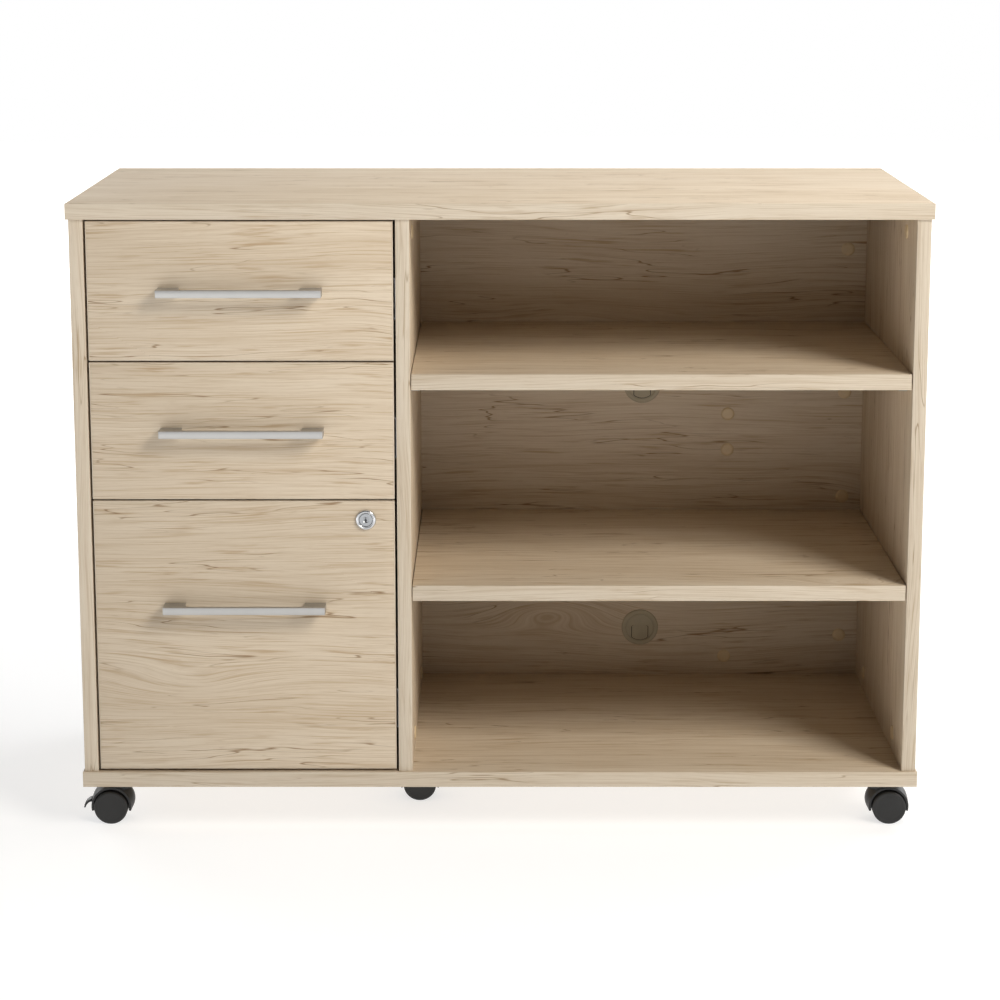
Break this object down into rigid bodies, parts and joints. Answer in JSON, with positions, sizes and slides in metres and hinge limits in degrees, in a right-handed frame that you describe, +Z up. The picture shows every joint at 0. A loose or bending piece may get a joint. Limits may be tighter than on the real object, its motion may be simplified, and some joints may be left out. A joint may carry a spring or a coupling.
{
  "type": "rolling pedestal cabinet",
  "caption": "Low woodgrain cabinet on casters, with a stack of drawers beside an open bay with shelves, bar handles, a lock and cable grommets.",
  "frame": {"origin": "on the floor, in the middle of the cabinet's overall box", "axes": "+X to the right as seen from the front, +Y from the drawer fronts to the back, +Z up"},
  "size_m": [0.9274, 0.414, 0.695],
  "materials": {
    "woodgrain_laminate": "satin woodgrain laminate on particle board",
    "drawer_board": "matt foil on fibreboard",
    "satin_nickel": "satin nickel",
    "chrome": "polished",
    "zinc_steel": "zinc plated sheet steel",
    "black_plastic": "moulded nylon",
    "grommet_plastic": "moulded, fine texture"
  },
  "bodies": {
    "carcass": {"top_panel": "woodgrain_laminate", "bottom_panel": "woodgrain_laminate", "left_side_panel": "woodgrain_laminate", "right_side_panel": "woodgrain_laminate", "divider_panel": "woodgrain_laminate", "back_panel": "woodgrain_laminate", "upper_shelf": "woodgrain_laminate", "lower_shelf": "woodgrain_laminate", "upper_grommet_sleeve": "grommet_plastic", "lower_grommet_sleeve": "grommet_plastic", "upper_cabinet_rail_left": "zinc_steel", "upper_cabinet_rail_right": "zinc_steel", "middle_cabinet_rail_left": "zinc_steel", "middle_cabinet_rail_right": "zinc_steel", "file_cabinet_rail_left": "zinc_steel", "file_cabinet_rail_right": "zinc_steel"},
    "upper_drawer": {"upper_drawer_front": "woodgrain_laminate", "upper_drawer_handle": "satin_nickel", "upper_drawer_left_side": "drawer_board", "upper_drawer_right_side": "drawer_board", "upper_drawer_back": "drawer_board", "upper_drawer_bottom": "drawer_board"},
    "middle_drawer": {"middle_drawer_front": "woodgrain_laminate", "middle_drawer_handle": "satin_nickel", "middle_drawer_left_side": "drawer_board", "middle_drawer_right_side": "drawer_board", "middle_drawer_back": "drawer_board", "middle_drawer_bottom": "drawer_board"},
    "file_drawer": {"file_drawer_front": "woodgrain_laminate", "file_drawer_handle": "satin_nickel", "file_drawer_left_side": "drawer_board", "file_drawer_right_side": "drawer_board", "file_drawer_back": "drawer_board", "file_drawer_bottom": "drawer_board", "file_drawer_rail_left": "zinc_steel", "file_drawer_rail_right": "zinc_steel", "lock_housing": "chrome"},
    "file_middle_rails": {"file_middle_rail_left": "zinc_steel", "file_middle_rail_right": "zinc_steel"},
    "lock_core": {"lock_plug": "chrome", "lock_cam": "zinc_steel"},
    "upper_grommet_flap": {"upper_grommet_flap": "grommet_plastic"},
    "lower_grommet_flap": {"lower_grommet_flap": "grommet_plastic"},
    "front_left_caster_hood": {"front_left_caster_hood": "black_plastic"},
    "front_left_caster_fore_wheel": {"front_left_caster_fore_wheel": "black_plastic"},
    "front_left_caster_aft_wheel": {"front_left_caster_aft_wheel": "black_plastic"},
    "front_left_caster_brake": {"front_left_caster_brake": "black_plastic"},
    "front_right_caster_hood": {"front_right_caster_hood": "black_plastic"},
    "front_right_caster_fore_wheel": {"front_right_caster_fore_wheel": "black_plastic"},
    "front_right_caster_aft_wheel": {"front_right_caster_aft_wheel": "black_plastic"},
    "rear_left_caster_hood": {"rear_left_caster_hood": "black_plastic"},
    "rear_left_caster_fore_wheel": {"rear_left_caster_fore_wheel": "black_plastic"},
    "rear_left_caster_aft_wheel": {"rear_left_caster_aft_wheel": "black_plastic"},
    "rear_right_caster_hood": {"rear_right_caster_hood": "black_plastic"},
    "rear_right_caster_fore_wheel": {"rear_right_caster_fore_wheel": "black_plastic"},
    "rear_right_caster_aft_wheel": {"rear_right_caster_aft_wheel": "black_plastic"},
    "rear_right_caster_brake": {"rear_right_caster_brake": "black_plastic"},
    "middle_caster_hood": {"middle_caster_hood": "black_plastic"},
    "middle_caster_fore_wheel": {"middle_caster_fore_wheel": "black_plastic"},
    "middle_caster_aft_wheel": {"middle_caster_aft_wheel": "black_plastic"}
  },
  "joints": [
    {"name": "upper_drawer_slide", "type": "slide", "parent": "carcass", "child": "upper_drawer", "axis": [0, -1, 0], "range_m": [0, 0.26]},
    {"name": "middle_drawer_slide", "type": "slide", "parent": "carcass", "child": "middle_drawer", "axis": [0, -1, 0], "range_m": [0, 0.26]},
    {"name": "file_drawer_slide", "type": "slide", "parent": "carcass", "child": "file_drawer", "axis": [0, -1, 0], "range_m": [0, 0.33]},
    {"name": "file_middle_rail_slide", "type": "slide", "parent": "carcass", "child": "file_middle_rails", "axis": [0, -1, 0], "range_m": [0, 0.165]},
    {"name": "lock_turn", "type": "hinge", "parent": "file_drawer", "child": "lock_core", "pos_m": [-0.144, -0.175, 0.3545], "axis": [0, -1, 0], "range_deg": [0, 90]},
    {"name": "upper_grommet_flap_hinge", "type": "hinge", "parent": "carcass", "child": "upper_grommet_flap", "pos_m": [0.172, 0.1826, 0.4376], "axis": [-1, 0, 0], "range_deg": [0, 90]},
    {"name": "lower_grommet_flap_hinge", "type": "hinge", "parent": "carcass", "child": "lower_grommet_flap", "pos_m": [0.172, 0.1826, 0.1346], "axis": [-1, 0, 0], "range_deg": [0, 90]},
    {"name": "front_left_caster_swivel", "type": "hinge", "parent": "carcass", "child": "front_left_caster_hood", "pos_m": [-0.42, -0.136, 0.04], "axis": [0, 0, 1], "continuous": true},
    {"name": "front_left_caster_fore_wheel_spin", "type": "hinge", "parent": "front_left_caster_hood", "child": "front_left_caster_fore_wheel", "pos_m": [-0.432, -0.136, 0.0185], "axis": [0, 1, 0], "continuous": true},
    {"name": "front_left_caster_aft_wheel_spin", "type": "hinge", "parent": "front_left_caster_hood", "child": "front_left_caster_aft_wheel", "pos_m": [-0.432, -0.136, 0.0185], "axis": [0, 1, 0], "continuous": true},
    {"name": "front_left_caster_brake_press", "type": "hinge", "parent": "front_left_caster_hood", "child": "front_left_caster_brake", "pos_m": [-0.445, -0.136, 0.0195], "axis": [0, -1, 0], "range_deg": [0, 15]},
    {"name": "front_right_caster_swivel", "type": "hinge", "parent": "carcass", "child": "front_right_caster_hood", "pos_m": [0.42, -0.136, 0.04], "axis": [0, 0, 1], "continuous": true},
    {"name": "front_right_caster_fore_wheel_spin", "type": "hinge", "parent": "front_right_caster_hood", "child": "front_right_caster_fore_wheel", "pos_m": [0.432, -0.136, 0.0185], "axis": [0, 1, 0], "continuous": true},
    {"name": "front_right_caster_aft_wheel_spin", "type": "hinge", "parent": "front_right_caster_hood", "child": "front_right_caster_aft_wheel", "pos_m": [0.432, -0.136, 0.0185], "axis": [0, 1, 0], "continuous": true},
    {"name": "rear_left_caster_swivel", "type": "hinge", "parent": "carcass", "child": "rear_left_caster_hood", "pos_m": [-0.42, 0.155, 0.04], "axis": [0, 0, 1], "continuous": true},
    {"name": "rear_left_caster_fore_wheel_spin", "type": "hinge", "parent": "rear_left_caster_hood", "child": "rear_left_caster_fore_wheel", "pos_m": [-0.432, 0.155, 0.0185], "axis": [0, 1, 0], "continuous": true},
    {"name": "rear_left_caster_aft_wheel_spin", "type": "hinge", "parent": "rear_left_caster_hood", "child": "rear_left_caster_aft_wheel", "pos_m": [-0.432, 0.155, 0.0185], "axis": [0, 1, 0], "continuous": true},
    {"name": "rear_right_caster_swivel", "type": "hinge", "parent": "carcass", "child": "rear_right_caster_hood", "pos_m": [0.42, 0.155, 0.04], "axis": [0, 0, 1], "continuous": true},
    {"name": "rear_right_caster_fore_wheel_spin", "type": "hinge", "parent": "rear_right_caster_hood", "child": "rear_right_caster_fore_wheel", "pos_m": [0.432, 0.155, 0.0185], "axis": [0, 1, 0], "continuous": true},
    {"name": "rear_right_caster_aft_wheel_spin", "type": "hinge", "parent": "rear_right_caster_hood", "child": "rear_right_caster_aft_wheel", "pos_m": [0.432, 0.155, 0.0185], "axis": [0, 1, 0], "continuous": true},
    {"name": "rear_right_caster_brake_press", "type": "hinge", "parent": "rear_right_caster_hood", "child": "rear_right_caster_brake", "pos_m": [0.445, 0.155, 0.0195], "axis": [0, 1, 0], "range_deg": [0, 15]},
    {"name": "middle_caster_swivel", "type": "hinge", "parent": "carcass", "child": "middle_caster_hood", "pos_m": [-0.1033, -0.058, 0.04], "axis": [0, 0, 1], "continuous": true},
    {"name": "middle_caster_fore_wheel_spin", "type": "hinge", "parent": "middle_caster_hood", "child": "middle_caster_fore_wheel", "pos_m": [-0.0913, -0.058, 0.0185], "axis": [0, 1, 0], "continuous": true},
    {"name": "middle_caster_aft_wheel_spin", "type": "hinge", "parent": "middle_caster_hood", "child": "middle_caster_aft_wheel", "pos_m": [-0.0913, -0.058, 0.0185], "axis": [0, 1, 0], "continuous": true}
  ],
  "couplings": [
    {"joint": "file_middle_rail_slide", "follows": "file_drawer_slide", "ratio": 0.5}
  ]
}
